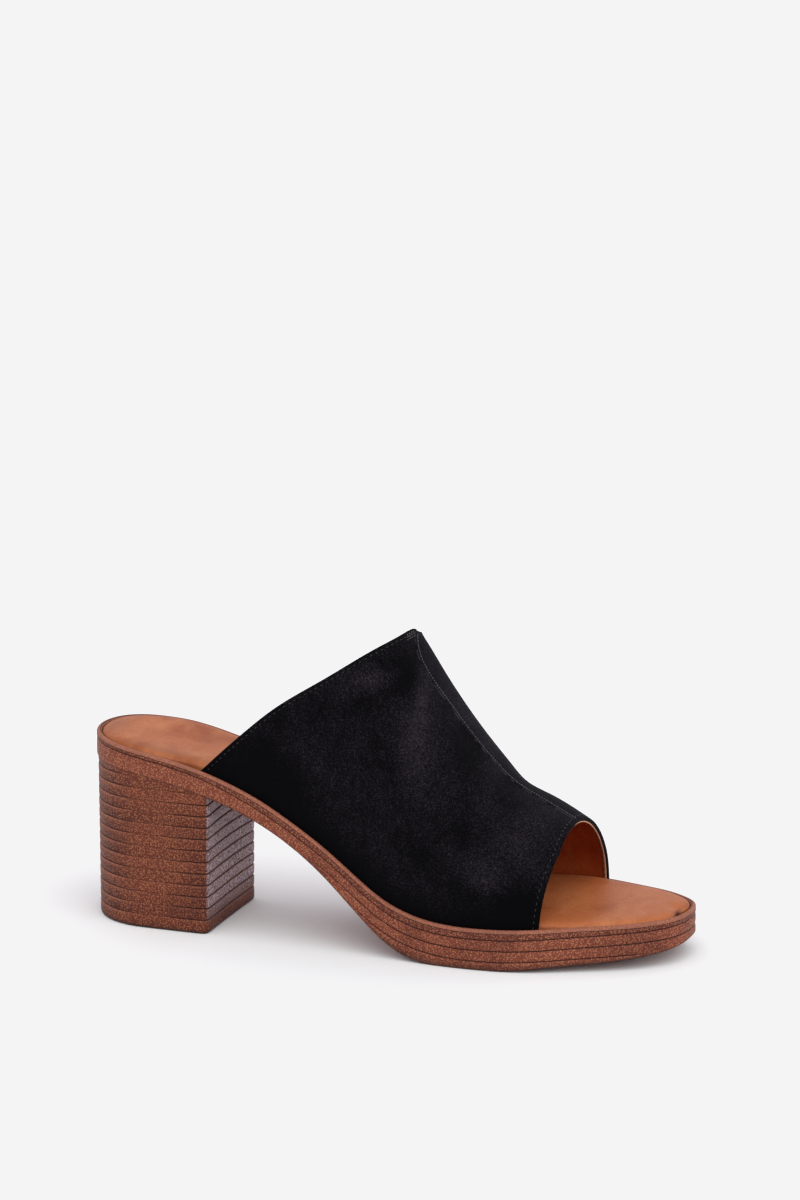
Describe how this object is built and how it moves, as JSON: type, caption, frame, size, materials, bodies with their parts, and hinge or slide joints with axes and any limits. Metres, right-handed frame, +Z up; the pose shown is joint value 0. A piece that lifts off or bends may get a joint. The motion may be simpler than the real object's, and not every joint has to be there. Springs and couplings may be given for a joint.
{
  "type": "block-heel mule sandal",
  "caption": "Open-toe slip-on mule with a smooth suede-like upper, tan padded insole and a moulded stacked-look sole on a high block heel.",
  "frame": {"origin": "on the floor, under the middle of the whole shoe's length and width", "axes": "+X from heel to toe, +Y to the medial (big toe) side, +Z up"},
  "size_m": [0.2418, 0.083, 0.1222],
  "materials": {
    "sole_moulding": "moulded polyurethane with a fine grain, brown, rubbed darker in its grooves",
    "heel_moulding": "moulded polyurethane with a fine grain and dark grooves, like stacked leather",
    "insole_leather": "smooth tan leather, slightly mottled, satin",
    "upper_suede": "black napped microfibre suede outside, tan leather lining inside"
  },
  "bodies": {
    "root": {"sole": "sole_moulding", "heel": "heel_moulding", "insole": "insole_leather", "upper": "upper_suede"}
  },
  "joints": []
}
